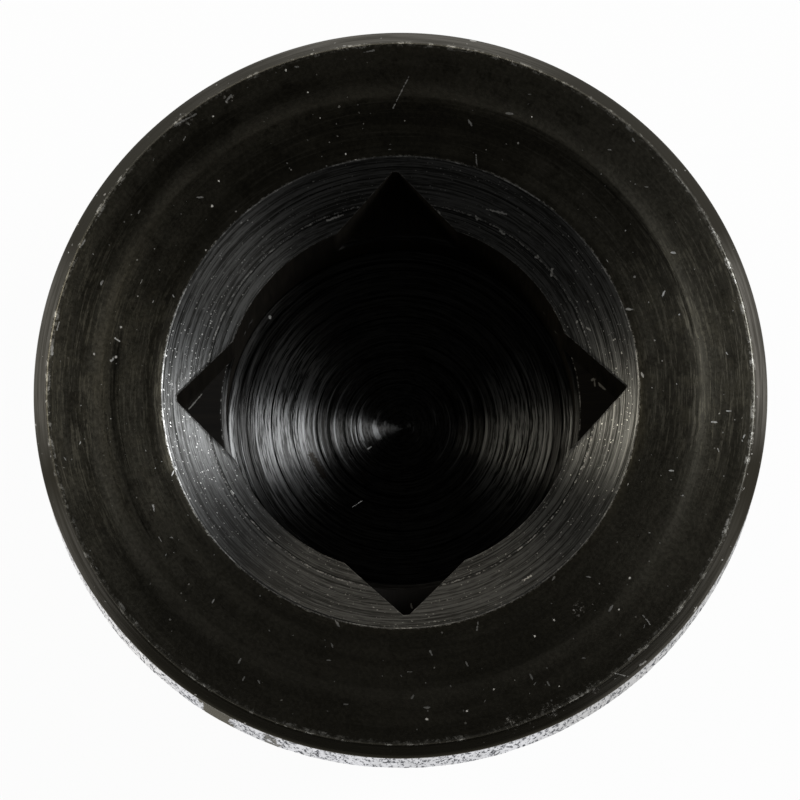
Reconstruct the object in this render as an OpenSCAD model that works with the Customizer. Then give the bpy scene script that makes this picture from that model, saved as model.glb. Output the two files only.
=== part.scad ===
// Drain plug: a low round collar over a threaded shank, turned by a square
// socket in its face. The plug stands on the end of its shank, its axis is Z
// and the socket opens upward. Lengths are millimetres, angles degrees.

/* [Collar] */
// Diameter of the collar
collar_d = 22.0; // [21:0.5:30]
// Height of the collar, from its sealing face to its top face
collar_h = 3.35; // [2.5:0.05:6]
// Radial width of the chamfer round the top of the collar
rim_chamfer_w = 0.41; // [0.1:0.01:0.8]
// Height of the chamfer round the top of the collar
rim_chamfer_h = 0.45; // [0.1:0.05:0.9]
// How far the middle of the face stands up over the flat along its rim
face_rise = 0.06; // [0.02:0.01:0.3]
// Width of that raised flat, from the countersink's edge outward
raised_flat_w = 1.52; // [0.8:0.01:1.9]
// Width of the slope from the raised flat down to the rim's flat
face_slope_w = 0.55; // [0.2:0.05:0.7]
// Chamfer round the lower edge of the collar
seat_chamfer = 0.20; // [0.05:0.05:0.4]

/* [Drive socket] */
// Width across the flats of the square socket
socket_af = 9.6; // [6:0.1:10.2]
// How much each corner of the square is blunted, along the diagonal
corner_blunt = 0.09; // [0.02:0.01:0.3]
// Depth of the square below the face, down to the floors of its corners
socket_depth = 4.2; // [3:0.1:5.5]
// How much wider the round pilot hole is than the square's flats
pilot_allowance = 1.0; // [0.5:0.1:1.8]
// How far the pilot hole runs on below the corner floors
pilot_runout = 2.0; // [0.8:0.1:2.5]
// Radius in the corner where the pilot hole meets its bottom
pilot_corner_r = 0.10; // [0.05:0.05:0.4]
// Depth of the shallow cone in the bottom of the pilot hole
pilot_cone_h = 1.50; // [0.3:0.05:2]
// Radial width of the land between the square's corners and the countersink's edge
countersink_lip = 0.46; // [0.1:0.02:0.8]
// Included angle of the countersink
countersink_angle = 120; // [90:5:130]

/* [Shank] */
// Outside diameter of the thread
thread_d = 18.0; // [17:0.25:19]
// Pitch of the thread
thread_pitch = 1.5; // [1:0.25:1.75]
// Length of the shank below the sealing face
shank_length = 12.0; // [9:0.5:20]
// Width of the relief groove under the collar, at the outside of the thread
relief_w = 3.2; // [2.2:0.1:4.5]
// How far the floor of the relief groove lies under the root of the thread
relief_undercut = 0.15; // [0.05:0.05:0.3]
// Radius in both corners of the relief groove
relief_corner_r = 0.40; // [0.1:0.05:0.6]
// Slope of the groove's run-out flank, measured from the axis
relief_flank_angle = 45; // [40:5:60]
// How far the end of the shank lies under the root of the thread
lead_undercut = 0.15; // [0.05:0.05:0.4]
// Slope of the lead chamfer at the end of the shank, measured from the axis
lead_angle = 45; // [30:5:60]

/* [Hidden] */
$fn = 96;

// Both sides of a metric thread together take this share of its pitch
thread_depth_ratio = 1.2269;
// How far a cut reaches past the surface that it opens
cut_past = 1;

overall_h = shank_length + collar_h;
collar_r = collar_d / 2;
rim_r = collar_r - rim_chamfer_w;
rim_z = overall_h - face_rise;

thread_r = thread_d / 2;
thread_root_r = (thread_d - thread_depth_ratio * thread_pitch) / 2;
lead_r = thread_root_r - lead_undercut;
lead_h = (thread_r - lead_r) / tan(lead_angle);

relief_r = thread_root_r - relief_undercut;
relief_start_z = shank_length - relief_w;
relief_floor_z = relief_start_z + (thread_r - relief_r) / tan(relief_flank_angle);

pilot_r = (socket_af + pilot_allowance) / 2;
pilot_bottom_z = overall_h - socket_depth - pilot_runout;
pilot_cone_angle = atan(pilot_cone_h / pilot_r);

socket_corner_r = socket_af / sqrt(2) - corner_blunt;
countersink_r = socket_corner_r + countersink_lip;
countersink_h = (countersink_r - pilot_r) / tan(countersink_angle / 2);
raised_flat_r = countersink_r + raised_flat_w;

// Half outline of the blank, from the end of the shank up to the face
module blank_outline() {
    polygon([
        [0, 0],
        [lead_r, 0],
        [thread_r, lead_h],
        [thread_r, shank_length],
        [collar_r - seat_chamfer, shank_length],
        [collar_r, shank_length + seat_chamfer],
        [collar_r, rim_z - rim_chamfer_h],
        [rim_r, rim_z],
        [raised_flat_r + face_slope_w, rim_z],
        [raised_flat_r, overall_h],
        [0, overall_h]
    ]);
}

// Half outline of the relief groove, with an arc in each of its two corners
module relief_outline() {
    flank = [sin(relief_flank_angle), -cos(relief_flank_angle)];
    corner = [relief_r, relief_floor_z];
    tangent = relief_corner_r * tan(relief_flank_angle / 2);
    foot = corner + tangent * flank;
    past = corner + (thread_r - relief_r + cut_past) / flank[0] * flank;
    polygon([
        [relief_r, corner[1] + tangent],
        [relief_r, shank_length - relief_corner_r],
        [relief_r + relief_corner_r, shank_length],
        [thread_r + cut_past, shank_length],
        past,
        foot
    ]);
    translate([relief_r + relief_corner_r, corner[1] + tangent])
        circle(r = relief_corner_r);
    translate([relief_r + relief_corner_r, shank_length - relief_corner_r])
        circle(r = relief_corner_r);
}

// Half outline of the drilled pilot hole, its shallow bottom and its countersink
module pilot_outline() {
    corner_r = pilot_r - pilot_corner_r;
    corner_z = pilot_bottom_z - pilot_corner_r * tan(pilot_cone_angle)
        + pilot_corner_r / cos(pilot_cone_angle);
    foot = [
        corner_r + pilot_corner_r * sin(pilot_cone_angle),
        corner_z - pilot_corner_r * cos(pilot_cone_angle)
    ];
    polygon([
        [0, pilot_bottom_z - pilot_cone_h],
        foot,
        [pilot_r, corner_z],
        [pilot_r, overall_h - countersink_h],
        [countersink_r + cut_past * tan(countersink_angle / 2), overall_h + cut_past],
        [0, overall_h + cut_past]
    ]);
    translate([corner_r, corner_z])
        circle(r = pilot_corner_r);
}

// Collar and shank, as turned from bar
module turned_blank() {
    rotate_extrude()
        difference() {
            blank_outline();
            relief_outline();
        }
}

// The square, broached through the pilot hole and stopped short of its bottom
module broached_square() {
    translate([0, 0, overall_h - socket_depth])
        linear_extrude(height = socket_depth + cut_past)
            intersection() {
                square(socket_af, center = true);
                circle(r = socket_corner_r);
            }
}

module drain_plug() {
    color([0.17, 0.16, 0.14])
        difference() {
            turned_blank();
            rotate_extrude()
                pilot_outline();
            broached_square();
        }
}

drain_plug();
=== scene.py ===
import math

import bmesh
import bpy
import numpy as np
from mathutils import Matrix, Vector, noise


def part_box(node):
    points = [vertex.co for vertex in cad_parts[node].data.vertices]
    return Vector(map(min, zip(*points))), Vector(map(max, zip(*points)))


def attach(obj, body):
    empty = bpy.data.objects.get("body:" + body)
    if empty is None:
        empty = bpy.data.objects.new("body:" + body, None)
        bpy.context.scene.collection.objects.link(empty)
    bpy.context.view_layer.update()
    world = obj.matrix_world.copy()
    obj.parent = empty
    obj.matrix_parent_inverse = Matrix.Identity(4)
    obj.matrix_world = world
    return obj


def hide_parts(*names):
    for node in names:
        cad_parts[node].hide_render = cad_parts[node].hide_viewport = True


# The drain plug as it looks: one blackened steel piece with its real thread,
# tool marks and worn edges, in place of the plain solid of the frame.
# Lengths are millimetres unless they say otherwise; MM turns them into metres.
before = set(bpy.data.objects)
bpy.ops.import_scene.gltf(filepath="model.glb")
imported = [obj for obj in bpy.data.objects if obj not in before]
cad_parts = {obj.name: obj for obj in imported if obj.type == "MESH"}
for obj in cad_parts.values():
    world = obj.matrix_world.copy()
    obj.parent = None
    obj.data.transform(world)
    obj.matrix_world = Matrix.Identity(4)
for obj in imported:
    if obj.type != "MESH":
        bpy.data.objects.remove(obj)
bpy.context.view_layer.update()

MM = 0.001
PLUG = "drain_plug"
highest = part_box(PLUG)[1]

# Sizes of the collar
face_z = round(highest.z / MM, 3)
collar_r = round(highest.x / MM, 1)
collar_h = 3.35
seat_z = face_z - collar_h
seat_chamfer = 0.20
rim_chamfer_w = 0.41
rim_chamfer_h = 0.41
rim_r = collar_r - rim_chamfer_w
face_rise = 0.045
rim_z = face_z - face_rise
face_slope_w = 0.62
# How deep the grain of the bar's skin is on the collar's side
skin_depth = 0.03

# Sizes of the socket
socket_af = 9.6
socket_depth = 4.2
corner_blunt = 0.09
sharp_corner_blunt = 0.02
pilot_allowance = 1.0
pilot_runout = 2.0
pilot_corner_r = 0.10
pilot_cone_h = 1.5
countersink_lip = 0.46
countersink_angle = 120
raised_flat_w = 1.52
socket_corner_r = socket_af / math.sqrt(2) - corner_blunt
sharp_corner_r = socket_af / math.sqrt(2) - sharp_corner_blunt
corner_floor_z = face_z - socket_depth
pilot_r = (socket_af + pilot_allowance) / 2
pilot_bottom_z = corner_floor_z - pilot_runout
countersink_r = socket_corner_r + countersink_lip
countersink_lean = math.radians(countersink_angle / 2)
raised_flat_r = countersink_r + raised_flat_w
# The bevel where the corner floors meet the pilot hole: its width and its slope
floor_bevel_w = 0.15
floor_bevel_slope = 0.42

# Sizes of the shank
pitch = 1.5
flank_angle = math.radians(30)
# Both sides of a metric thread together take this share of its pitch, and the radius
# in its root takes this one
thread_depth_ratio = 1.2269
root_radius_ratio = 0.1443
undercut = 0.15
relief_w = 3.2
relief_corner_r = 0.40
thread_r = 9.0
root_r = thread_r - thread_depth_ratio * pitch / 2
lead_r = root_r - undercut
relief_r = root_r - undercut
relief_start_z = seat_z - relief_w
relief_floor_z = relief_start_z + thread_r - relief_r
# Height of the level ring in the groove's floor, where the thread's rows have ended
relief_ring_z = seat_z - relief_corner_r - 0.25

# The points of every ring stand at these angles round the axis. They include the
# edges of the square's flats and its four corners.
FLAT_STEPS = 22
CORNER_STEPS = 17
BLUNT_STEPS = 3
flat_edge = math.acos(socket_af / 2 / pilot_r)
blunt_edge = math.acos(socket_af / 2 / socket_corner_r)
eighth = np.concatenate([
    np.linspace(0, flat_edge, FLAT_STEPS, endpoint=False),
    np.linspace(flat_edge, blunt_edge, CORNER_STEPS, endpoint=False),
    np.linspace(blunt_edge, math.pi / 4, BLUNT_STEPS, endpoint=False),
])
quarter = np.concatenate([eighth, math.pi / 2 - eighth[:0:-1]])
quarter = np.insert(quarter, len(eighth), math.pi / 4)
ANGLES = np.concatenate([quarter + turn * math.pi / 2 for turn in range(4)])
AROUND = len(ANGLES)
COS, SIN = np.cos(ANGLES), np.sin(ANGLES)


def square_radius():
    """Distance of the square socket's wall from the axis, at each angle.

    One of its corners is sharper than the other three, as in the photograph."""
    flat = socket_af / 2 / np.maximum(abs(COS), abs(SIN))
    sharp = (COS > 0) & (SIN > 0)
    return np.minimum(flat, np.where(sharp, sharp_corner_r, socket_corner_r))


# Arcs that turn by more than this, in radians, have one point more
WIDE_SWEEP = 0.5


def corner_arc(before, here, after, radius):
    """Points of the arc that rounds a corner, from one straight stretch to the next."""
    back = (before - here) / np.linalg.norm(before - here)
    ahead = (after - here) / np.linalg.norm(after - here)
    half = math.acos(np.clip(back @ ahead, -1, 1)) / 2
    reach = radius / math.tan(half)
    middle = (back + ahead) / np.linalg.norm(back + ahead)
    centre = here + middle * radius / math.sin(half)
    first = here + back * reach - centre
    last = here + ahead * reach - centre
    sweep = math.pi - 2 * half
    steps = 4 if sweep > WIDE_SWEEP else 3
    arc = []
    for k in range(steps + 1):
        share = k / steps
        mix = math.sin((1 - share) * sweep) * first + math.sin(share * sweep) * last
        arc.append(centre + mix / math.sin(sweep))
    return arc


def rounded_path(corners):
    """Points (r, z, wear) along straight stretches and the arcs between them.

    Each corner is (r, z, edge radius, spacing of the points up to the next one)."""
    places = [np.array(corner[:2]) for corner in corners]
    count = len(corners)
    entries = []
    for i, (_, _, radius, _) in enumerate(corners):
        if i in (0, count - 1) or radius == 0:
            entries.append([places[i]])
        else:
            entries.append(corner_arc(places[i - 1], places[i], places[i + 1], radius))
    points = []
    for i, arc in enumerate(entries):
        for k, point in enumerate(arc):
            worn = math.sin(math.pi * k / (len(arc) - 1)) if len(arc) > 1 else 0
            points.append((point[0], point[1], worn))
        if i + 1 < count:
            start, end = arc[-1], entries[i + 1][0]
            steps = max(1, int(round(np.linalg.norm(end - start) / corners[i][3])))
            for k in range(1, steps):
                between = start + (end - start) * k / steps
                points.append((between[0], between[1], 0))
    return points


class Skin:
    """The points and faces of the plug's surface, gathered ring by ring."""

    def __init__(self):
        self.points = []
        self.wear = []
        self.faces = []
        self.finishes = []

    def ring(self, radius, height, wear=0.0):
        """Adds a ring of points and returns their numbers."""
        first = len(self.points)
        radius = np.broadcast_to(radius, AROUND)
        height = np.broadcast_to(height, AROUND)
        wear = np.broadcast_to(wear, AROUND)
        self.points += list(zip(radius * COS * MM, radius * SIN * MM, height * MM))
        self.wear += list(wear)
        return list(range(first, first + AROUND))

    def face(self, corners, finish):
        self.faces.append(corners)
        self.finishes.append(finish)

    def band(self, low, high, finish, closed=True):
        """Joins two rings by quads. A ring that climbs is left open between its two ends."""
        for j in range(AROUND if closed else AROUND - 1):
            k = (j + 1) % AROUND
            self.face((low[j], low[k], high[k], high[j]), finish)

    def grow(self, last, radius, height, finish, wear=0.0):
        """Adds a ring, joins it to the last one and returns its numbers."""
        ring = self.ring(radius, height, wear)
        self.band(last, ring, finish)
        return ring

    def tip(self, ring, height, finish, outward):
        """Closes a ring with triangles to a point on the axis."""
        centre = len(self.points)
        self.points.append((0.0, 0.0, height * MM))
        self.wear.append(0.0)
        for j in range(AROUND):
            k = (j + 1) % AROUND
            corners = (centre, ring[k], ring[j]) if outward else (ring[j], ring[k], centre)
            self.face(corners, finish)


# The finishes, in the order of the mesh's material slots
FACE, SIDE, COUNTERSINK, WALL, BOTTOM, THREAD = range(6)


def thread_rows():
    """Places of the rows across one pitch, from a crest's edge, with their radii."""
    crest = pitch / 8
    root_radius = root_radius_ratio * pitch
    arc_start = pitch / 2 - root_radius * math.cos(flank_angle)
    flank = np.linspace(crest / 2, arc_start, 4)
    half = [(x, thread_r - (x - crest / 2) / math.tan(flank_angle)) for x in flank]
    for x in (0.5 * (arc_start + pitch / 2), pitch / 2):
        drop = math.sqrt(root_radius ** 2 - (pitch / 2 - x) ** 2)
        half.append((x, root_r + root_radius - drop))
    rest = [(pitch - x, r) for x, r in half[-2:0:-1]]
    rows = half + rest
    last = (pitch - crest / 2, thread_r)
    return [(x - crest / 2, r) for x, r in rows + [last]]


def shank_envelope(z):
    """Radius of the shank without its thread, up to the floor of the relief groove."""
    lead = lead_r + z
    runout = thread_r - (z - relief_start_z)
    return np.maximum(np.minimum(np.minimum(lead, runout), thread_r), relief_r)


# At the end of the shank the thread's rows are squeezed between these two heights
squeeze_low, squeeze_high = 0.08, 0.14
# In the groove they are squeezed above this height, to this share of their climb
plain_z = relief_floor_z + 0.20
plain_share = 0.5
# How worn the thread's crests are
crest_wear = 0.8


def climbing_rings(skin, rows):
    """Rings of points that climb with the thread, so its edges are edges of the mesh."""
    per_turn = len(rows)
    climb_to_plain = plain_z - squeeze_high + pitch
    turns = math.ceil(climb_to_plain / pitch)
    climbing = []
    for k in range(turns * per_turn + 1):
        offset, thread_at = rows[k % per_turn]
        climb = pitch * (k // per_turn) + offset + pitch * ANGLES / (2 * math.pi)
        z_low = squeeze_low + (squeeze_high - squeeze_low) * climb / pitch
        z_mid = squeeze_high + climb - pitch
        z_high = plain_z + (climb - climb_to_plain) * plain_share
        z = np.where(climb < pitch, z_low, np.where(climb < climb_to_plain, z_mid, z_high))
        envelope = shank_envelope(z)
        in_thread = (climb >= pitch) & (climb < climb_to_plain)
        radius = np.where(in_thread, np.minimum(envelope, thread_at), envelope)
        crest = crest_wear * (radius > thread_r - 0.02)
        climbing.append(skin.ring(radius, z, crest))
    return climbing


def build_shank(skin):
    """The end, the lead chamfer and the thread, up to the relief groove's floor."""
    inner_r, edge = 0.6, 0.06
    corners = [(inner_r, 0, 0, 1.2), (lead_r, 0, edge, 0.05), (lead_r + edge, edge, 0, 1)]
    rings = [skin.ring(r, z, worn) for r, z, worn in rounded_path(corners)]
    skin.tip(rings[0], 0, THREAD, True)
    for low, high in zip(rings, rings[1:]):
        skin.band(low, high, THREAD)

    rows = thread_rows()
    per_turn = len(rows)
    climbing = climbing_rings(skin, rows)
    count = len(climbing) - 1
    last = AROUND - 1
    for k in range(count):
        low, high = climbing[k], climbing[k + 1]
        skin.band(low, high, THREAD, closed=False)
        if k + per_turn < count:
            next_low, next_high = climbing[k + per_turn], climbing[k + 1 + per_turn]
            skin.face((low[last], next_low[0], next_high[0], high[last]), THREAD)

    bottom, below = climbing[0], rings[-1]
    skin.band(below, bottom, THREAD, closed=False)
    step = [climbing[k][0] for k in range(per_turn + 1)]
    skin.face((below[last], below[0], *step, bottom[last]), THREAD)

    top, above = climbing[-1], skin.ring(relief_r, relief_ring_z)
    skin.band(top, above, THREAD, closed=False)
    step = [climbing[count - k][last] for k in range(per_turn + 1)]
    skin.face((top[0], above[0], above[last], *step), THREAD)
    return above


def bar_skin(r, z):
    """Uneven skin of the bar, from 0 to 1 at each angle; it runs long up the axis."""
    grain = 2.6
    stretch = 4
    spots = zip(COS * r * grain, SIN * r * grain)
    level = z * grain / stretch
    return np.array([0.5 + 0.5 * noise.noise(Vector((x, y, level))) for x, y in spots])


# Where the points stand on the soft slope of the face, from its foot to its top
SLOPE_SHARES = (0.84, 0.68, 0.5, 0.32, 0.16)


def build_collar(skin, ring):
    """The relief groove's root, the sealing face, the side, the chamfer and the face."""
    side_top_z = rim_z - rim_chamfer_h
    corners = [
        (relief_r, relief_ring_z, 0, 0.3),
        (relief_r, seat_z, relief_corner_r, 0.35),
        (collar_r - seat_chamfer, seat_z, 0.04, 0.2),
        (collar_r, seat_z + seat_chamfer, 0.05, 0.15),
        (collar_r, side_top_z, 0.06, 0.13),
        (rim_r, rim_z, 0.08, 0.3),
        (raised_flat_r + face_slope_w, rim_z, 0, 1),
    ]
    for share in SLOPE_SHARES:
        drop = face_rise * share * share * (3 - 2 * share)
        corners.append((raised_flat_r + face_slope_w * share, face_z - drop, 0, 1))
    corners += [(raised_flat_r, face_z, 0, 0.4), (countersink_r, face_z, 0, 1)]
    for r, z, worn in rounded_path(corners)[1:]:
        finish = SIDE if r > collar_r - 0.002 and z < side_top_z else FACE
        grainy = r > collar_r - 1.5 * seat_chamfer and z < side_top_z - 0.03
        dip = skin_depth * bar_skin(r, z) if grainy else 0
        ring = skin.grow(ring, r - dip, z, finish, worn if r > raised_flat_r else 0)
    return ring


def build_countersink(skin, ring, mouth_r, mouth_z, edge):
    """The countersink, down to the worn corner over the socket's walls."""
    bottom_r = mouth_r + edge * math.sin(countersink_lean)
    bottom_z = mouth_z + edge * math.cos(countersink_lean)
    steps = 14
    for k in range(1, steps + 1):
        share = k / steps
        r = countersink_r + (bottom_r - countersink_r) * share
        ring = skin.grow(ring, r, face_z + (bottom_z - face_z) * share, COUNTERSINK)
    blunt_out, blunt_down = 0.011, 0.005
    return skin.grow(ring, mouth_r + blunt_out, mouth_z - blunt_down, COUNTERSINK, 1)


def build_socket(skin, ring):
    """The countersink, the square's flats and corner floors, and the pilot hole."""
    mouth_r = np.maximum(square_radius(), pilot_r)
    mouth_z = face_z - (countersink_r - mouth_r) / math.tan(countersink_lean)
    edge = 0.05
    ring = build_countersink(skin, ring, mouth_r, mouth_z, edge)

    wall_top = mouth_z - edge
    wall_steps = 8
    for k in range(wall_steps + 1):
        share = k / wall_steps
        ring = skin.grow(ring, mouth_r, wall_top + (corner_floor_z - wall_top) * share, WALL)
    ledge_r = np.minimum(mouth_r, pilot_r + floor_bevel_w)
    ledge_wear_w = 0.035
    before_ledge = np.minimum(mouth_r, ledge_r + ledge_wear_w)
    floor_steps = 3
    for k in range(1, floor_steps + 1):
        share = k / floor_steps
        ring = skin.grow(ring, mouth_r + (before_ledge - mouth_r) * share, corner_floor_z, WALL)
    ring = skin.grow(ring, ledge_r, corner_floor_z, WALL, 1)
    for reach in (0.2, 0.6, 1):
        inward = (ledge_r - pilot_r) * reach
        z = corner_floor_z - inward * floor_bevel_slope
        ring = skin.grow(ring, ledge_r - inward, z, BOTTOM)

    apex_z = pilot_bottom_z - pilot_cone_h
    inner_r = 0.1
    corners = [
        (pilot_r, corner_floor_z - floor_bevel_w * floor_bevel_slope, 0, 0.3),
        (pilot_r, pilot_bottom_z, pilot_corner_r, 0.1),
        (inner_r, apex_z + inner_r * pilot_cone_h / pilot_r, 0, 1),
    ]
    for r, z, _ in rounded_path(corners):
        ring = skin.grow(ring, r, z, WALL if r > pilot_r - 0.01 else BOTTOM)
    skin.tip(ring, apex_z, BOTTOM, False)


def add_object(name, data):
    """A new object in the scene."""
    made = bpy.data.objects.new(name, data)
    bpy.context.scene.collection.objects.link(made)
    return made


def build_plug(finishes):
    """The plug's mesh, as one closed skin."""
    skin = Skin()
    shank_top = build_shank(skin)
    face_edge = build_collar(skin, shank_top)
    build_socket(skin, face_edge)

    mesh = bpy.data.meshes.new("drain_plug_skin")
    mesh.from_pydata(skin.points, [], skin.faces)
    mesh.polygons.foreach_set("material_index", skin.finishes)
    wear = mesh.attributes.new("edge_wear", "FLOAT", "POINT")
    wear.data.foreach_set("value", skin.wear)
    for finish in finishes:
        mesh.materials.append(finish)
    mesh.update()
    close_skin(mesh)
    return add_object("drain_plug_skin", mesh)


# Edges that bend by more degrees than this are shaded sharp
SHARP_FROM = 32


def close_skin(mesh):
    """Merges the rings where the corner floors narrow to nothing, and marks sharp edges."""
    work = bmesh.new()
    work.from_mesh(mesh)
    bmesh.ops.remove_doubles(work, verts=work.verts, dist=1e-7)
    bmesh.ops.dissolve_degenerate(work, edges=work.edges, dist=1e-8)
    work.to_mesh(mesh)
    work.free()
    mesh.polygons.foreach_set("use_smooth", [True] * len(mesh.polygons))
    mesh.set_sharp_from_angle(angle=math.radians(SHARP_FROM))


class Wiring:
    """A node tree, added to by short calls that take numbers or sockets."""

    def __init__(self, tree):
        self.tree = tree

    def node(self, kind, **settings):
        made = self.tree.nodes.new(kind)
        for key, value in settings.items():
            setattr(made, key, value)
        return made

    def put(self, value, socket):
        if isinstance(value, bpy.types.NodeSocket):
            self.tree.links.new(value, socket)
        elif isinstance(value, tuple) and len(value) == 3 and socket.type == "RGBA":
            socket.default_value = (*value, 1)
        else:
            socket.default_value = value

    def fill(self, made, *values):
        """Puts values into a node's first sockets and gives its first result."""
        for value, socket in zip(values, made.inputs):
            self.put(value, socket)
        return made.outputs[0]

    def feed(self, made, **values):
        """Puts values into a node's sockets, by their names."""
        for name, value in values.items():
            self.put(value, made.inputs[name])

    def math(self, operation, *values):
        return self.fill(self.node("ShaderNodeMath", operation=operation), *values)

    def chain(self, operation, values):
        total = values[0]
        for value in values[1:]:
            total = self.math(operation, total, value)
        return total

    def times(self, *values):
        return self.chain("MULTIPLY", values)

    def plus(self, *values):
        return self.chain("ADD", values)

    def most(self, *values):
        """The largest of the values."""
        return self.chain("MAXIMUM", values)

    def minus(self, value, less):
        return self.math("SUBTRACT", value, less)

    def apart(self, value, other):
        """How far two values are apart."""
        return self.math("ABSOLUTE", self.minus(value, other))

    def weighted(self, *parts):
        """The sum of patterns, each times its weight."""
        return self.plus(*[self.times(pattern, weight) for pattern, weight in parts])

    def split(self, value):
        made = self.node("ShaderNodeSeparateXYZ")
        self.put(value, made.inputs[0])
        return made.outputs

    def ramp(self, value, low, high, to_low=0.0, to_high=1.0, smooth=True):
        """Goes from to_low to to_high as the value goes from low to high."""
        kind = "SMOOTHSTEP" if smooth else "LINEAR"
        made = self.node("ShaderNodeMapRange", interpolation_type=kind, clamp=True)
        return self.fill(made, value, low, high, to_low, to_high)


# Where a mix node takes its share and its two colours, and where it gives the blend
MIX_SHARE, MIX_FIRST, MIX_SECOND, MIX_BLEND = 0, 6, 7, 2


class Graph(Wiring):
    """A material's nodes, with places and patterns that follow the plug's axis.

    A place's turn is its angle round the axis, in degrees clockwise from the side of
    the plug that the photograph shows at the right. Patterns are in millimetres."""

    def __init__(self, name):
        self.material = bpy.data.materials.new(name)
        self.material.use_nodes = True
        super().__init__(self.material.node_tree)
        self.shader = self.tree.nodes["Principled BSDF"]
        place = self.node("ShaderNodeTexCoord").outputs["Object"]
        self.place = self.vector("SCALE", place, scale=1 / MM)
        x, y, self.z = self.split(self.place)
        self.radius = self.math("SQRT", self.plus(self.times(x, x), self.times(y, y)))
        safe = self.most(self.radius, 0.01)
        self.east = self.math("DIVIDE", x, safe)
        self.north = self.math("DIVIDE", y, safe)
        across = self.plus(self.times(x, VIEW_RIGHT.x), self.times(y, VIEW_RIGHT.y))
        down = self.plus(self.times(x, -VIEW_UP.x), self.times(y, -VIEW_UP.y))
        turn = self.times(self.math("ARCTAN2", down, across), 180 / math.pi)
        self.turn = self.math("MODULO", self.plus(turn, 360.0), 360.0)
        self.wobble = self.minus(self.noise(self.place, 14, 2), 0.5)
        self.colour = None

    def vector(self, operation, value, other=None, scale=None, output="Vector"):
        """One step of arithmetic with places."""
        made = self.node("ShaderNodeVectorMath", operation=operation)
        self.put(value, made.inputs[0])
        if other is not None:
            self.put(other, made.inputs[1])
        if scale is not None:
            self.put(scale, made.inputs["Scale"])
        return made.outputs[output]

    def join(self, x, y, z):
        return self.fill(self.node("ShaderNodeCombineXYZ"), x, y, z)

    def squeezed(self, z):
        """The place with its heights shrunk, so that a pattern runs long up the axis."""
        return self.vector("MULTIPLY", self.place, (1, 1, z))

    def moved(self, x, y):
        """The place shifted, so that a pattern falls another way."""
        return self.vector("ADD", self.place, (x, y, 0))

    def slanted(self, turn_deg, stretch):
        """The place turned and shrunk along one direction, for marks that lie slanted."""
        made = self.node("ShaderNodeMapping", vector_type="TEXTURE")
        turned = (0, 0, math.radians(turn_deg))
        self.feed(made, Vector=self.place, Rotation=turned, Scale=(1, stretch, 1))
        return made.outputs[0]

    def around(self, across, per_mm, drift):
        """A place that runs fast across the rings and slowly along them."""
        return self.join(self.times(across, per_mm),
                         self.times(self.east, per_mm * drift),
                         self.times(self.north, per_mm * drift))

    def turned_from(self, middle):
        """How many degrees round the axis a place is from this turn."""
        off = self.math("MODULO", self.plus(self.turn, 540.0 - middle), 360.0)
        return self.apart(off, 180.0)

    def arc(self, middle, half, soft):
        """One within so many degrees of a turn, fading over the soft ones."""
        return self.ramp(self.turned_from(middle), half + soft, half)

    def arcs(self, table):
        """One within any arc of a table."""
        return self.most(*[self.arc(*one) for one in table])

    def zone(self, start, full, last, end):
        """One between two radii, with a soft border on both sides."""
        return self.times(self.ramp(self.radius, start, full), self.ramp(self.radius, end, last))

    def near(self, value, target, width):
        """One at the target, falling to zero at the given distance from it."""
        return self.ramp(self.apart(value, target), width, width * 0.4)

    def spiral(self, start, end, width):
        """A tool mark round the axis, between two (turn, radius) places."""
        (turn, radius), (last_turn, last_radius) = start, end
        share = self.ramp(self.turn, turn, last_turn, smooth=False)
        at = self.plus(self.times(share, last_radius - radius), radius)
        mark = self.ramp(self.apart(self.radius, at), width, width * 0.3)
        fade = 6
        ends = self.arc((turn + last_turn) / 2, (last_turn - turn) / 2 - fade, fade)
        return self.times(mark, ends)

    def noise(self, at, scale, detail=2.0, roughness=0.5):
        made = self.node("ShaderNodeTexNoise")
        self.feed(made, Vector=at, Scale=scale, Detail=detail, Roughness=roughness)
        return made.outputs["Fac"]

    def rings(self, across, per_mm, drift, detail=2.0, roughness=0.5):
        """Noise in rings: fine across them and slow along them."""
        at = self.join(self.times(across, per_mm),
                       self.times(self.east, drift), self.times(self.north, drift))
        return self.noise(at, 1.0, detail, roughness)

    def dots(self, at, per_unit, share, size):
        """Small ragged marks of uneven brightness, in a share of a scattered pattern's cells."""
        made = self.node("ShaderNodeTexVoronoi")
        self.feed(made, Vector=at, Scale=per_unit)
        pick, spread, bright = self.split(made.outputs["Color"])
        chosen = self.math("LESS_THAN", pick, share)
        reach = self.times(self.plus(self.math("POWER", spread, 2.0), 0.5), size)
        ragged = self.times(self.noise(at, per_unit * 4.5, 2, 0.6), size * 3.0)
        off = self.plus(made.outputs["Distance"], self.minus(ragged, size * 1.5))
        inside = self.math("LESS_THAN", off, reach)
        return self.times(chosen, self.ramp(bright, 0, 1, 0.25, 1, smooth=False), inside)

    def stroke(self, start, end, width, height, ragged):
        """A mark between two places of the photograph, its border broken up by noise."""
        start, end = seen_at(start, height), seen_at(end, height)
        level = self.vector("MULTIPLY", self.place, (1, 1, 0))
        off = self.vector("SUBTRACT", level, start)
        run = Vector(end) - Vector(start)
        if run.length > 0:
            share = self.vector("DOT_PRODUCT", off, run / run.length_squared, output="Value")
            share = self.most(self.math("MINIMUM", share, 1.0), 0.0)
            off = self.vector("SUBTRACT", off, self.vector("SCALE", run, scale=share))
        length = self.vector("LENGTH", off, output="Value")
        reach = self.plus(length, self.times(self.wobble, ragged * 4))
        return self.ramp(reach, width, width * 0.5)

    def strokes(self, table, height, ragged):
        """The strokes of a table of ends and widths, at one height."""
        marks = 0.0
        for start, end, width in table:
            marks = self.most(marks, self.stroke(start, end, width, height, ragged))
        return marks

    def spots(self, table, height, ragged):
        """The round spots of a table of places and widths, at one height."""
        return self.strokes([(at, at, width) for at, width in table], height, ragged)

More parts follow.
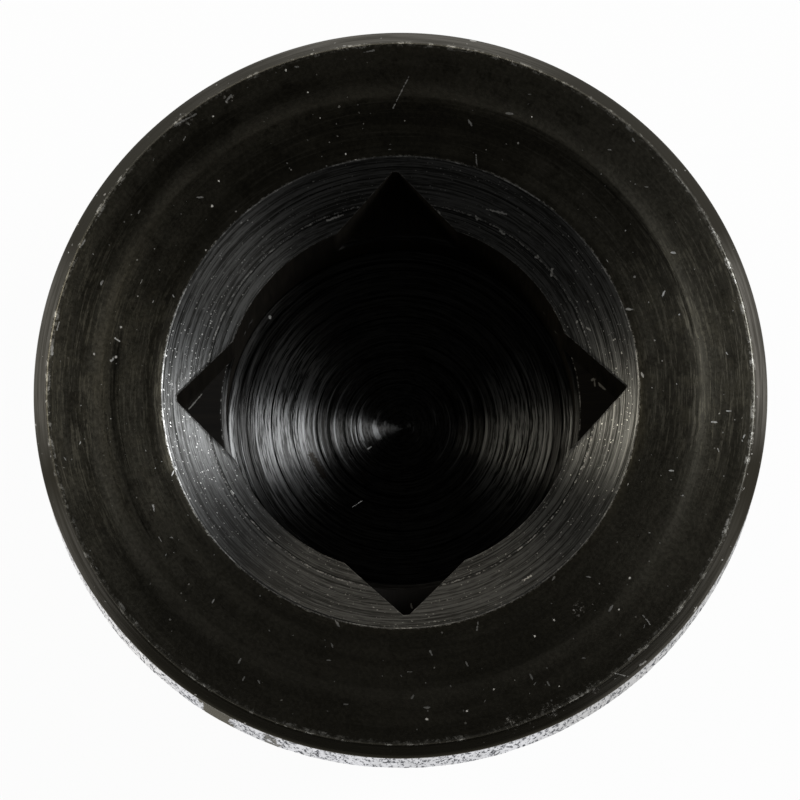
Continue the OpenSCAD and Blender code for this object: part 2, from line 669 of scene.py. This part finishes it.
    def blend(self, share, first, second):
        made = self.node("ShaderNodeMix", data_type="RGBA")
        for value, number in ((share, MIX_SHARE), (first, MIX_FIRST), (second, MIX_SECOND)):
            self.put(value, made.inputs[number])
        return made.outputs[MIX_BLEND]

    def paint(self, share, colour, strength=1.0):
        """Lays a colour over the one so far."""
        if strength < 1:
            share = self.times(share, strength)
        self.colour = self.blend(share, self.colour, colour)

    def attribute(self, name):
        return self.node("ShaderNodeAttribute", attribute_name=name).outputs["Fac"]

    def relief(self, *layers):
        """Raises the surface by each pattern times its depth, in millimetres."""
        normal = None
        for height, depth in layers:
            made = self.node("ShaderNodeBump")
            self.feed(made, Strength=1, Distance=depth * MM, Height=height)
            if normal is not None:
                self.feed(made, Normal=normal)
            normal = made.outputs[0]
        return normal

    def finish(self, roughness, normal, metallic=1.0, streak=0.0):
        """Sets the shader. Streak is how far reflections spread across the rings."""
        self.put(self.colour, self.shader.inputs["Base Color"])
        self.feed(self.shader, Metallic=metallic, Roughness=roughness, Normal=normal)
        if streak:
            tangent = self.node("ShaderNodeTangent", direction_type="RADIAL", axis="Z")
            self.feed(self.shader, Anisotropic=streak, Tangent=tangent.outputs[0])
            self.shader.inputs["Anisotropic Rotation"].default_value = 0.25
        return self.material


# The camera: how the photograph looks at the plug. Angles in degrees, the distance in
# metres, and where it aims in millimetres from the middle of the face
VIEW_AZIMUTH = 43.6
VIEW_ELEVATION = 81.6
VIEW_DISTANCE = 0.290
VIEW_LENS = 433.5
SENSOR = 36
PHOTO_WIDTH = 800
AIM_BELOW_FACE = 1.76
AIM_LEFT = 0.017

azimuth = math.radians(VIEW_AZIMUTH)
elevation = math.radians(VIEW_ELEVATION)
VIEW_RIGHT = Vector((math.cos(azimuth), math.sin(azimuth), 0))
VIEW_UP = Vector((-math.sin(azimuth), math.cos(azimuth), 0))
TARGET = Vector((0, 0, (face_z - AIM_BELOW_FACE) * MM)) - VIEW_RIGHT * AIM_LEFT * MM
TOWARDS_CAMERA = -VIEW_UP * math.cos(elevation) + Vector((0, 0, math.sin(elevation)))


def seen_at(pixel, z):
    """The place at height z, in millimetres, that the photograph shows at this pixel."""
    reach = VIEW_LENS / SENSOR * PHOTO_WIDTH
    centre = PHOTO_WIDTH / 2
    up = TOWARDS_CAMERA.cross(VIEW_RIGHT)
    ray = VIEW_RIGHT * (pixel[0] - centre) + up * (centre - pixel[1]) - TOWARDS_CAMERA * reach
    eye = (TARGET + TOWARDS_CAMERA * VIEW_DISTANCE) / MM
    spot = eye + ray * (z - eye.z) / ray.z
    return spot.x, spot.y, 0.0


# In the tables of the looks, an arc is its middle turn, half width and soft border.
# Colours of the black oxide, dark and light
OXIDE_WARM = ((0.024, 0.0219, 0.0163), (0.056, 0.0515, 0.039))
OXIDE_TURNED = ((0.026, 0.0255, 0.0232), (0.092, 0.0915, 0.087))
OXIDE_WALL = ((0.007, 0.0055, 0.0035), (0.015, 0.012, 0.008))
OXIDE_DRILLED = ((0.006, 0.0058, 0.0052), (0.026, 0.0255, 0.024))
# This pair is the painted fan highlight of the drilled bottom
OXIDE_FAN_HIGHLIGHT = ((0.008, 0.0078, 0.0072), (0.074, 0.0735, 0.07))
# Colours of bare worn steel and of dust
BARE_STEEL = (0.46, 0.45, 0.42)
DUST = (0.42, 0.4, 0.36)

# Colours of the film on the face, among them painted highlights and a painted shade
SMEARED = (0.014, 0.0125, 0.009)
TURNED_LINE = (0.075, 0.07, 0.056)
SLOPE_POLISH_AND_HIGHLIGHT = (0.092, 0.085, 0.066)
RIM_FILM = (0.07, 0.064, 0.048)
FRONT_FILM = (0.09, 0.083, 0.064)
PAINTED_FACE_SHADE = (0.012, 0.011, 0.008)
STAINED = (0.068, 0.061, 0.042)
BRUSHED_HIGHLIGHT = (0.12, 0.11, 0.082)
CRACK = (0.008, 0.007, 0.005)
DENT = (0.006, 0.0055, 0.004)
# Colours of its chamfer, of its scuffs with a painted highlight, and of its worn edges
CHAMFER = (0.026, 0.0235, 0.017)
SCUFFED_AND_HIGHLIGHT = (0.175, 0.165, 0.145)
WORN_EDGE = (0.34, 0.325, 0.28)
CHIPPED = (0.46, 0.445, 0.4)

# Scratches on the face, as the photograph shows them: ends and width
SCRATCHES = (
    ((393, 108), (409, 76), 0.016), ((476, 155), (477, 166), 0.018), ((478, 622), (477, 630), 0.018),
    ((226, 101), (231, 95), 0.04), ((176, 124), (196, 114), 0.03), ((80, 247), (85, 240), 0.03),
    ((57, 330), (59, 322), 0.025), ((52, 354), (52, 346), 0.05), ((615, 673), (628, 675), 0.018),
    ((629, 659), (633, 655), 0.04), ((640, 664), (646, 660), 0.03), ((430, 651), (432, 655), 0.03),
    ((643, 615), (650, 624), 0.016), ((655, 699), (660, 694), 0.025), ((364, 52), (374, 50), 0.02),
    ((115, 338), (119, 341), 0.03), ((111, 361), (113, 359), 0.04), ((153, 505), (154, 511), 0.025),
)
# Flecks there, each by its place and width
FLECKS = (
    ((356, 160), 0.045), ((346, 154), 0.03), ((212, 206), 0.045), ((219, 181), 0.035),
    ((206, 250), 0.035), ((308, 92), 0.03), ((286, 70), 0.035), ((213, 116), 0.035),
    ((554, 620), 0.045), ((535, 636), 0.04), ((619, 609), 0.035), ((559, 686), 0.03),
    ((515, 680), 0.03), ((494, 689), 0.035), ((467, 711), 0.035), ((427, 719), 0.05),
    ((630, 578), 0.035), ((320, 118), 0.03), ((121, 327), 0.04), ((94, 354), 0.045),
    ((116, 357), 0.05), ((138, 296), 0.03),
)
# Pale stains there, each by its place and width
STAINS = (
    ((578, 609), 0.26), ((593, 687), 0.24), ((550, 710), 0.28), ((512, 722), 0.3),
    ((531, 717), 0.18), ((228, 98), 0.18), ((184, 120), 0.26),
)
# Marks of the turning tool there: turn and radius where each starts and ends, width
TOOL_MARKS = (
    ((304, 8.7), (352, 8.96), 0.055), ((312, 8.79), (350, 9.0), 0.022),
    ((146, 8.6), (194, 8.6), 0.16), ((160, 8.44), (192, 8.48), 0.022),
)
# Arcs of the rim's chamfer that are scuffed and get a painted highlight where the lamps light it:
# middle turn, half width and strength
SCUFFED_AND_LIT_ARCS = (
    (270, 22, 0.52), (244, 10, 0.14), (186, 14, 0.55), (352, 14, 0.9), (40, 18, 0.35), (150, 12, 0.35),
)
# Arcs of its film that are paler; arcs on the lit sides that are stained and get a painted
# highlight of brushed rings; and arcs of painted shade, with how strong it is outside the slope
FRONT_ARC = (75, 35, 50)
STAINED_AND_LIT_ARCS = ((180, 14, 26), (352, 12, 24))
SHADED_ARCS = (((190, 14, 22), 0.04), ((354, 18, 26), 0.36))
# Radii where the polish and painted highlight of its slope start, are full, fade and end,
# and where the film near the rim starts and is full
SLOPE_POLISH_AND_HIGHLIGHT_ZONE = (8.92, 9.04, 9.1, 9.62)
RIM_ZONE = (10.1, 10.5)
# Fine slanted marks all over the face: the way they lie, their share and their size
FINE_MARKS = ((15, 0.7, 0.062), (70, 0.6, 0.07), (130, 0.65, 0.066))


def face_film(g, fine, streaks):
    """Colour of the film on the face: clouds and streaks, a polished slope with a painted highlight,
    stains with painted highlights and painted shade on the lit sides, cracks.
    """
    bands = g.rings(g.radius, 1.25, 0.45, 2, 0.45)
    cloud = g.noise(g.moved(7.3, 2.1), 0.42, 4, 0.55)
    tone = g.weighted((bands, 0.55), (cloud, 0.3), (streaks, 0.15))
    g.colour = g.blend(g.ramp(tone, 0.41, 0.59), *OXIDE_WARM)
    smear = g.ramp(g.noise(g.moved(4.2, 7.7), 1.3, 5, 0.72), 0.5, 0.66, 0, 0.55)
    g.paint(smear, SMEARED)
    g.paint(g.ramp(fine, 0.52, 0.72, 0, 0.35), TURNED_LINE)

    patchy = g.ramp(g.noise(g.moved(9.1, 9.1), 0.6, 3), 0.35, 0.6, 0.45, 0.85)
    # Painted highlight on the slope ring, over its polish
    g.paint(g.times(g.zone(*SLOPE_POLISH_AND_HIGHLIGHT_ZONE), patchy), SLOPE_POLISH_AND_HIGHLIGHT)
    g.paint(g.ramp(g.radius, *RIM_ZONE), RIM_FILM, 0.3)
    g.paint(g.arc(*FRONT_ARC), FRONT_FILM, 0.3)

    # Painted shade on the lit sides, where the lamps' fans fall
    painted_shade = 0.0
    for arc, outside in SHADED_ARCS:
        painted_shade = g.most(painted_shade, g.times(g.arc(*arc), g.ramp(g.radius, 8.9, 8.5, outside, 0.5)))
    g.paint(painted_shade, PAINTED_FACE_SHADE)
    lit_sides = g.arcs(STAINED_AND_LIT_ARCS)
    stain = g.ramp(g.noise(g.moved(5.5, 1.2), 1.4, 4, 0.7), 0.46, 0.66, 0, 0.3)
    g.paint(g.times(lit_sides, stain), STAINED)
    # Painted highlight of brushed rings on the lit sides
    brushed_highlight = g.ramp(g.rings(g.radius, 13, 9, 4, 0.75), 0.51, 0.6, 0, 0.55)
    brushed_highlight = g.times(lit_sides, brushed_highlight, g.ramp(g.radius, 8.5, 9.0, 0.5, 1))
    g.paint(brushed_highlight, BRUSHED_HIGHLIGHT)
    hair = g.apart(g.noise(g.moved(2.2, 6.1), 1.7, 4, 0.62), 0.5)
    crack = g.times(g.ramp(hair, 0.008, 0.002), g.plus(g.times(lit_sides, 0.35), 0.08))
    g.paint(crack, CRACK)


def face_edges(g, chamfer):
    """Adds the chamfer, scuffed and with a painted highlight on its lit arcs, the worn edges and the
    chips along the rim.
    """
    scuffed_and_lit = 0.03
    for middle, half, strength in SCUFFED_AND_LIT_ARCS:
        scuffed_and_lit = g.most(scuffed_and_lit, g.times(g.arc(middle, half * 0.5, half), strength))
    lines = g.ramp(g.rings(g.radius, 12, 3.0, 4, 0.7), 0.38, 0.62, 0.3, 1)
    g.paint(chamfer, CHAMFER)
    # Painted highlight on the chamfer's lit arcs, mixed with its scuffs
    g.paint(g.times(chamfer, scuffed_and_lit, lines), SCUFFED_AND_HIGHLIGHT)

    ragged = g.ramp(g.noise(g.place, 4.5, 6, 0.85), 0.5, 0.58)
    clumps = g.ramp(g.noise(g.moved(4.4, 4.4), 0.8, 3, 0.6), 0.4, 0.6, 0.35, 1)
    rim = g.times(g.near(g.radius, rim_r - 0.03, 0.075), 0.6)
    mouth = g.times(g.near(g.radius, countersink_r + 0.01, 0.03), 0.8)
    edge = g.attribute("edge_wear")
    worn = g.times(g.most(edge, rim, mouth), clumps, ragged)
    g.paint(g.most(worn, g.times(edge, 0.22)), WORN_EDGE)
    chips = g.ramp(g.noise(g.moved(6.3, 2.7), 2.4, 6, 0.85), 0.545, 0.59)
    chips = g.times(chips, g.near(g.radius, rim_r - 0.02, 0.11), g.ramp(clumps, 0.35, 1, 0.4, 0.9))
    g.paint(chips, CHIPPED)


def face_marks(g):
    """Scratches and bright marks on the face."""
    marks = g.dots(g.moved(3.1, 0.4), 6.5, 0.08, 0.12)
    crowd = g.noise(g.moved(1.7, 8.3), 0.55, 2)
    for turn_deg, share, size in FINE_MARKS:
        crowded = g.ramp(crowd, 0.44, 0.64, share * 0.4, share)
        marks = g.most(marks, g.dots(g.slanted(turn_deg, 3.4), 2.6, crowded, size))
    return g.most(marks, g.strokes(SCRATCHES, face_z, 0.02))


def face_dust(g):
    """Dust, flecks and pale crumbs on the face."""
    scattered = g.dots(g.place, 3.4, 0.2, 0.085)
    crumbs = g.ramp(g.noise(g.place, 9, 4, 0.8), 0.54, 0.62)
    stains = g.times(g.spots(STAINS, face_z, 0.1), crumbs, 0.5)
    return g.most(scattered, g.spots(FLECKS, face_z, 0.02), stains)


def face_finish():
    g = Graph("black_oxide_face")
    fine = g.rings(g.radius, 14, 3.0, 3, 0.65)
    streaks = g.rings(g.radius, 7, 1.1, 4, 0.7)
    grit = g.noise(g.place, 9, 4, 0.7)
    chamfer = g.ramp(g.radius, rim_r + 0.02, rim_r + 0.06)
    face_film(g, fine, streaks)
    face_edges(g, chamfer)
    dents = 0.0
    for start, end, width in TOOL_MARKS:
        dents = g.most(dents, g.spiral(start, end, width))
    g.paint(g.times(dents, g.ramp(fine, 0.35, 0.65, 0.35, 0.9)), DENT)
    g.paint(face_marks(g), BARE_STEEL)
    dust = face_dust(g)
    g.paint(dust, DUST)

    flat_rough = g.times(g.ramp(grit, 0.35, 0.65, 0.33, 0.42), g.minus(1.0, chamfer))
    rough = g.plus(flat_rough, g.times(chamfer, 0.16))
    flat = g.minus(1.0, g.times(chamfer, 0.75))
    normal = g.relief((dents, -0.0015), (g.times(streaks, flat), 0.0022),
                      (g.times(fine, flat), 0.003), (g.times(grit, flat), 0.0012))
    return g.finish(rough, normal, g.minus(1.0, dust), streak=0.6)


# Colours of the collar's side: dark pits, the steel's two shades, a painted shade where it is
# dimmer and a painted light where it is paler, and the smooth brown patches
SIDE_PIT = (0.1, 0.105, 0.12)
SIDE_STEEL = ((0.4, 0.405, 0.43), (0.62, 0.625, 0.67))
SIDE_PAINTED_SHADE = (0.2, 0.195, 0.19)
SIDE_PAINTED_LIGHT = (0.82, 0.8, 0.785)
SIDE_BROWN = (0.12, 0.108, 0.076)
# Arcs of the painted shade, where the steel is dimmer, and of the painted light, where it is paler
SIDE_SHADE_ARC, SIDE_LIGHT_ARC = (40, 18, 14), (148, 14, 10)
# The patches: middle turn, half width and how dark
SIDE_PATCHES = ((119.9, 2.9, 1.0), (111.4, 1.0, 0.8), (27.0, 1.4, 0.5))


def side_finish():
    g = Graph("bar_side")
    long = g.squeezed(0.2)
    grain = g.noise(long, 7, 3, 0.6)
    pits = g.ramp(g.noise(long, 8.5, 3, 0.75), 0.39, 0.51)
    shade = g.ramp(g.noise(long, 1.6, 4, 0.7), 0.35, 0.65)
    g.colour = g.blend(shade, *SIDE_STEEL)
    # Painted shade on one arc of the side and painted light on another
    g.paint(g.arc(*SIDE_SHADE_ARC), SIDE_PAINTED_SHADE, 0.95)
    g.paint(g.arc(*SIDE_LIGHT_ARC), SIDE_PAINTED_LIGHT, 0.75)
    g.colour = g.blend(pits, SIDE_PIT, g.colour)
    ragged = g.times(g.minus(g.noise(long, 1.3, 4, 0.75), 0.5), 9.0)
    patch = 0.0
    for middle, half, dark in SIDE_PATCHES:
        off = g.plus(g.turned_from(middle), ragged)
        patch = g.most(patch, g.times(g.ramp(off, half + 0.3, half - 0.4), dark))
    g.paint(patch, SIDE_BROWN)
    bare = g.times(pits, g.minus(1.0, patch))
    rough = g.ramp(bare, 0, 1, 0.75, 0.22, smooth=False)
    return g.finish(rough, g.relief((grain, 0.01), (pits, 0.008)))


# Chips on the countersink: ends and width
COUNTERSINK_CHIPS = (
    ((524, 581), (531, 577), 0.035), ((231, 490), (233, 493), 0.04), ((327, 219), (343, 213), 0.03),
    ((438, 209), (441, 214), 0.03), ((530, 191), (539, 203), 0.04), ((476, 215), (477, 218), 0.04),
    ((500, 229), (504, 232), 0.035), ((536, 256), (538, 255), 0.04), ((552, 268), (552, 274), 0.045),
    ((577, 320), (577, 321), 0.035), ((587, 327), (590, 329), 0.03), ((405, 609), (408, 612), 0.045),
    ((487, 209), (506, 214), 0.025),
)
# Arcs of the countersink with many specks and painted glints, with more painted glints, and with a
# painted shade and a painted light
SPECKED_AND_LIT_ARCS = ((358, 36, 20), (172, 24, 24))
RIGHT_GLINTS, LEFT_GLINTS = (2, 14, 18), (176, 14, 18)
COUNTERSINK_SHADE_ARC, COUNTERSINK_LIGHT_ARC = (24, 6, 12), (141, 22, 8)
# Radius of the small step that the countersink's tool left, near the pilot hole
LEDGE_R = 5.86
# Colours of the countersink's grooves and its painted shade, the painted shade under its ledge, its
# grains, its painted light, its painted glints and its specks with painted glints
GROOVE_AND_SHADE = (0.01, 0.01, 0.009)
LEDGE_SHADE = (0.008, 0.008, 0.007)
DARK_GRAIN = (0.012, 0.012, 0.011)
COUNTERSINK_PAINTED_LIGHT = (0.12, 0.118, 0.112)
GLINT = (0.21, 0.207, 0.195)
SPECK_AND_GLINT = (0.6, 0.59, 0.55)


def countersink_specks(g):
    """Bright specks in rows, partly real marks and partly painted glints, most of them on the two
    sides that face the lamps.
    """
    rows = g.ramp(g.rings(g.radius, 5, 0.5, 1), 0.44, 0.6, 0.06, 0.62)
    dashes = g.dots(g.around(g.radius, 16, 4.2), 1.0, rows, 0.19)
    grains = g.dots(g.around(g.radius, 11, 4.0), 1.0, 0.16, 0.15)
    lit_by_lamps = g.most(g.arcs(SPECKED_AND_LIT_ARCS), 0.45)
    return g.times(g.most(dashes, grains), lit_by_lamps)


def countersink_finish():
    g = Graph("turned_countersink")
    fine = g.rings(g.radius, 27, 17, 2, 0.6)
    medium = g.rings(g.radius, 17, 1.6, 3, 0.65)
    coarse = g.rings(g.radius, 5, 0.8)
    tone = g.weighted((fine, 0.3), (medium, 0.7))
    g.colour = g.blend(g.ramp(tone, 0.4, 0.6), *OXIDE_TURNED)
    line = g.ramp(g.rings(g.radius, 15, 0.9, 1), 0.3, 0.37, 0.85, 0)
    g.paint(line, GROOVE_AND_SHADE)
    glints = g.ramp(g.rings(g.radius, 21, 1.6, 2, 0.6), 0.57, 0.63, 0, 0.6)
    glints = g.times(glints, g.most(g.arc(*RIGHT_GLINTS), g.times(g.arc(*LEFT_GLINTS), 0.2)))
    g.paint(glints, GLINT)
    g.paint(countersink_specks(g), SPECK_AND_GLINT)
    # Painted shade on one arc and painted light on another
    g.paint(g.arc(*COUNTERSINK_SHADE_ARC), GROOVE_AND_SHADE, 0.35)
    g.paint(g.arc(*COUNTERSINK_LIGHT_ARC), COUNTERSINK_PAINTED_LIGHT, 0.15)
    dark_grains = g.dots(g.around(g.plus(g.radius, 0.37), 12, 2.4), 1.0, 0.3, 0.2)
    g.paint(dark_grains, DARK_GRAIN, 0.45)

    wander = g.times(g.minus(g.noise(g.place, 3, 3, 0.7), 0.5), 0.08)
    ledge_at = g.plus(g.radius, wander)
    ledge = g.near(ledge_at, LEDGE_R, 0.028)
    shade = g.times(g.near(ledge_at, LEDGE_R - 0.045, 0.03), 0.8)
    g.paint(shade, LEDGE_SHADE)
    broken = g.ramp(g.noise(g.moved(8.1, 3.3), 0.7, 3, 0.6), 0.4, 0.6, 0.4, 1)
    rim = g.times(g.near(g.radius, countersink_r - 0.015, 0.03), broken)
    mouth = g.times(g.attribute("edge_wear"), 0.4)
    ragged = g.ramp(g.noise(g.place, 5, 6, 0.85), 0.48, 0.56)
    worn = g.times(g.most(mouth, rim, ledge), g.most(ragged, g.times(rim, 0.35)))
    g.paint(worn, BARE_STEEL)
    halfway_down = face_z - 0.5
    g.paint(g.strokes(COUNTERSINK_CHIPS, halfway_down, 0.03), BARE_STEEL)
    step = g.ramp(ledge_at, LEDGE_R - 0.02, LEDGE_R + 0.02)
    normal = g.relief((step, 0.012), (coarse, 0.006), (medium, 0.005), (fine, 0.0035))
    return g.finish(0.36, normal, streak=0.6)


# Swarf and burrs on the corner floors, the left pocket's ones a painted highlight along its corner
# edge: ends and width
POCKET_SWARF_AND_HIGHLIGHT = (
    ((592, 380), (596, 378), 0.045), ((594, 378), (595, 386), 0.025), ((598, 379), (600, 385), 0.035),
    ((600, 385), (605, 389), 0.045), ((189, 409), (195, 402), 0.026), ((195, 402), (202, 394), 0.018),
    ((411, 604), (412, 608), 0.03),
)
# Arcs of the corners whose edges are worn
WORN_CORNERS = ((180, 28, 12), (0, 28, 12))
# Colour of the painted shade on the corner floors
POCKET_FLOOR_SHADE = (0.004, 0.0035, 0.0025)
POCKET_STEEL_AND_HIGHLIGHT = (0.3, 0.29, 0.26)


def wall_finish():
    g = Graph("black_oxide_wall")
    down = g.rings(g.z, 0.4, 60)
    g.colour = g.blend(g.ramp(down, 0.3, 0.7), *OXIDE_WALL)
    floor = g.near(g.z, corner_floor_z, 0.03)
    # Painted shade on the corner floors at the bottom of the pockets
    g.paint(floor, POCKET_FLOOR_SHADE, 0.5)
    ragged = g.ramp(g.noise(g.place, 9, 3, 0.7), 0.5, 0.6)
    worn = g.times(g.attribute("edge_wear"), ragged, g.arcs(WORN_CORNERS))
    g.paint(worn, BARE_STEEL)
    # Swarf and burrs, partly a painted highlight along a corner edge
    swarf = g.times(g.strokes(POCKET_SWARF_AND_HIGHLIGHT, corner_floor_z, 0.01), floor)
    g.paint(swarf, POCKET_STEEL_AND_HIGHLIGHT)
    g.shader.inputs["Specular IOR Level"].default_value = 0.15
    return g.finish(0.6, g.relief((down, 0.004)), g.most(worn, swarf))


# Swarf and a smear in the bottom of the hole: ends, width and how far they lie
# under the bottom's edge
BOTTOM_SWARF = (
    ((270, 317), (270, 318), 0.05, 0.1), ((368, 449), (371, 447), 0.03, 1.2),
    ((352, 508), (362, 501), 0.016, 0.8),
)
BOTTOM_SMEAR = ((311, 455), (323, 475), 0.13, 0.7)
# Radii of the drill's grooves in the bottom of the hole, with their widths
DRILL_GROOVES = (
    (4.96, 0.05), (4.7, 0.018), (3.95, 0.03), (3.32, 0.022), (2.57, 0.038), (2.21, 0.06),
    (1.73, 0.035), (1.35, 0.018),
)
# Radii of the ridges between them, where painted highlight lines lie, with their widths
RIDGE_HIGHLIGHT_RADII = (
    (4.42, 0.03), (3.1, 0.06), (2.98, 0.025), (2.66, 0.03), (2.03, 0.035), (1.52, 0.025),
)
# Arcs of the bottom that catch the lamps and get its painted highlights, and one beside them with a
# fainter painted highlight at the fan's edge
LIT_ARCS = ((176, 30, 22), (8, 24, 20))
FAN_EDGE_ARC = (158, 3, 22)
# Radii where the bottom's painted fan highlight starts, is full, fades and ends
FAN_HIGHLIGHT_ZONE = (2.6, 3.2, 4.1, 4.8)
# Colours of the painted highlights on the bottom's ridges, of its grooves, of the painted highlight at
# its fan's edge, and of what lies in it
RIDGE_HIGHLIGHT = (0.105, 0.104, 0.1)
FAN_EDGE_HIGHLIGHT = (0.08, 0.079, 0.075)
DEEP_GROOVE = (0.003, 0.003, 0.0026)
OIL = (0.012, 0.0095, 0.007)
SWARF = (0.38, 0.37, 0.34)


def bottom_finish():
    g = Graph("drilled_bottom")
    wave = g.times(g.minus(g.noise(g.place, 1.3, 3, 0.6), 0.5), 0.1)
    across = g.plus(g.radius, wave)
    short = g.rings(across, 24, 9, 2, 0.6)
    fine = g.rings(across, 17, 1.6, 3, 0.65)
    sharp = g.rings(g.radius, 8, 0.8, 2, 0.6)
    coarse = g.rings(g.radius, 4.5, 0.5)
    tone = g.weighted((fine, 0.65), (short, 0.35))
    g.colour = g.blend(g.ramp(tone, 0.38, 0.62), *OXIDE_DRILLED)

    # Painted highlights of the lamps' fans, on the polish zone and on ridge lines
    lit_by_lamps = g.arcs(LIT_ARCS)
    fan_highlight = g.most(g.zone(*FAN_HIGHLIGHT_ZONE), g.near(g.radius, 5.17, 0.14))
    bright = g.blend(g.ramp(tone, 0.43, 0.58), *OXIDE_FAN_HIGHLIGHT)
    g.paint(g.times(fan_highlight, lit_by_lamps), bright)
    g.paint(g.times(g.ramp(sharp, 0.6, 0.67, 0, 0.6), lit_by_lamps), RIDGE_HIGHLIGHT)
    g.paint(g.ramp(sharp, 0.4, 0.33, 0, 0.8), OXIDE_DRILLED[0])
    fan_edge_highlight = g.times(g.arc(*FAN_EDGE_ARC), g.near(g.radius, 3.4, 1.2), 0.28)
    g.paint(fan_edge_highlight, FAN_EDGE_HIGHLIGHT)

    for at, width in RIDGE_HIGHLIGHT_RADII:
        ridge_highlight = g.times(g.near(g.radius, at, width), lit_by_lamps, 0.5)
        g.paint(ridge_highlight, RIDGE_HIGHLIGHT)
    groove = g.most(*[g.near(g.radius, at, width) for at, width in DRILL_GROOVES])
    deep = g.times(groove, g.ramp(g.noise(g.place, 0.9, 2), 0.35, 0.55, 0.5, 1))
    g.paint(deep, DEEP_GROOVE)

    start, end, width, under = BOTTOM_SMEAR
    smear = g.stroke(start, end, width, pilot_bottom_z - under, 0.08)
    g.paint(smear, OIL, 0.75)
    swarf = 0.0
    for start, end, width, under in BOTTOM_SWARF:
        swarf = g.most(swarf, g.stroke(start, end, width, pilot_bottom_z - under, 0.01))
    g.paint(swarf, SWARF)
    normal = g.relief((groove, -0.01), (coarse, 0.008), (fine, 0.006), (short, 0.004))
    return g.finish(0.3, normal, g.minus(1.0, swarf), streak=0.85)


CREST_STEEL = (0.24, 0.235, 0.22)


def thread_finish():
    g = Graph("black_oxide_thread")
    fine = g.rings(g.z, 14, 2.0)
    cloud = g.noise(g.place, 0.8, 3)
    g.colour = g.blend(g.ramp(cloud, 0.3, 0.7), *OXIDE_WARM)
    speck = g.ramp(g.noise(g.place, 8, 3), 0.45, 0.6)
    crest = g.times(g.attribute("edge_wear"), speck, 0.35)
    g.paint(crest, CREST_STEEL)
    return g.finish(0.36, g.relief((fine, 0.003)))


def make_camera():
    data = bpy.data.cameras.new("photo_view")
    data.lens = VIEW_LENS
    data.sensor_width = SENSOR
    data.clip_start = 0.01
    data.clip_end = 10
    camera = add_object("photo_view", data)
    camera.location = TARGET + TOWARDS_CAMERA * VIEW_DISTANCE
    camera.rotation_mode = "QUATERNION"
    camera.rotation_quaternion = (-TOWARDS_CAMERA).to_track_quat("-Z", "Y")
    bpy.context.scene.camera = camera


# The lamps: name, compass direction and height in degrees, sizes in metres, radiance, colour
LAMPS = (
    ("right_box", 19, 43, (0.19, 0.36), 13.5, (0.97, 1.0, 1.06)),
    ("left_box", 161, 34, (0.23, 0.2), 7.7, (1.05, 1.0, 0.88)),
    ("back_box", 92, 20, (0.9, 0.15), 1.6, (1.06, 0.99, 0.86)),
    ("fill_box", 332, 34, (0.32, 0.26), 0.9, (1, 1, 1)),
)
LAMP_DISTANCE = 0.7
# How bright the room is, next to its white backdrop, and how bright the floor looks
ROOM_GREY = 0.06
FLOOR_GLOW = 0.965
FLOOR_HALF = 4.0


def compass(turn_deg):
    """The level direction that lies this far round from the picture's right, by its top."""
    turn = math.radians(turn_deg)
    return VIEW_RIGHT * math.cos(turn) + VIEW_UP * math.sin(turn)


def soft_box(name, turn_deg, height_deg, size, radiance, colour):
    """A flat lamp that faces the plug from a compass direction and height."""
    data = bpy.data.lights.new(name, "AREA")
    data.shape = "RECTANGLE"
    data.size, data.size_y = size
    data.energy = radiance * math.pi * size[0] * size[1]
    data.color = colour
    lamp = add_object(name, data)
    rise = math.radians(height_deg)
    back = compass(turn_deg) * math.cos(rise) + Vector((0, 0, math.sin(rise)))
    lamp.location = Vector((0, 0, face_z * MM)) + back * LAMP_DISTANCE
    lamp.rotation_mode = "QUATERNION"
    lamp.rotation_quaternion = back.to_track_quat("Z", "Y")


def make_world():
    """A dim room with a white backdrop low down behind the plug; the camera sees it white."""
    world = bpy.data.worlds.new("studio")
    bpy.context.scene.world = world
    world.use_nodes = True
    g = Wiring(world.node_tree)
    place = g.node("ShaderNodeTexCoord").outputs["Generated"]
    x, y, z = g.split(place)
    behind = g.plus(g.times(x, VIEW_UP.x), g.times(y, VIEW_UP.y))
    backdrop = g.times(g.ramp(z, 0.2, 0.1), g.ramp(behind, -0.55, -0.1))
    horizon = g.ramp(z, 0.06, 0.03)
    by_camera = g.node("ShaderNodeLightPath").outputs["Is Camera Ray"]
    white = g.most(backdrop, horizon, by_camera)
    grey = g.ramp(white, 0, 1, ROOM_GREY, 1, smooth=False)
    g.put(grey, world.node_tree.nodes["Background"].inputs["Color"])


def make_floor():
    """A white floor. The camera and reflections see it lit; it still takes the shadow."""
    half = FLOOR_HALF
    mesh = bpy.data.meshes.new("floor")
    mesh.from_pydata([(-half, -half, 0), (half, -half, 0), (half, half, 0), (-half, half, 0)],
                     [], [(0, 1, 2, 3)])
    floor = add_object("floor", mesh)
    material = bpy.data.materials.new("white_floor")
    material.use_nodes = True
    g = Wiring(material.node_tree)
    shader = material.node_tree.nodes["Principled BSDF"]
    shader.inputs["Base Color"].default_value = (0.9, 0.9, 0.9, 1)
    shader.inputs["Roughness"].default_value = 1
    shader.inputs["Specular IOR Level"].default_value = 0
    glow = g.node("ShaderNodeEmission")
    path = g.node("ShaderNodeLightPath").outputs
    seen = g.most(path["Is Camera Ray"], path["Is Glossy Ray"], path["Is Transmission Ray"])
    mix = g.node("ShaderNodeMixShader")
    g.put(g.times(seen, FLOOR_GLOW), mix.inputs[0])
    g.put(shader.outputs[0], mix.inputs[1])
    g.put(glow.outputs[0], mix.inputs[2])
    g.put(mix.outputs[0], material.node_tree.nodes["Material Output"].inputs["Surface"])
    mesh.materials.append(material)


finishes = [
    face_finish(), side_finish(), countersink_finish(),
    wall_finish(), bottom_finish(), thread_finish(),
]
plug = build_plug(finishes)
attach(plug, "root")
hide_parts(PLUG)

bpy.context.scene.view_settings.view_transform = "Standard"
make_camera()
for lamp in LAMPS:
    soft_box(*lamp)
make_world()
make_floor()
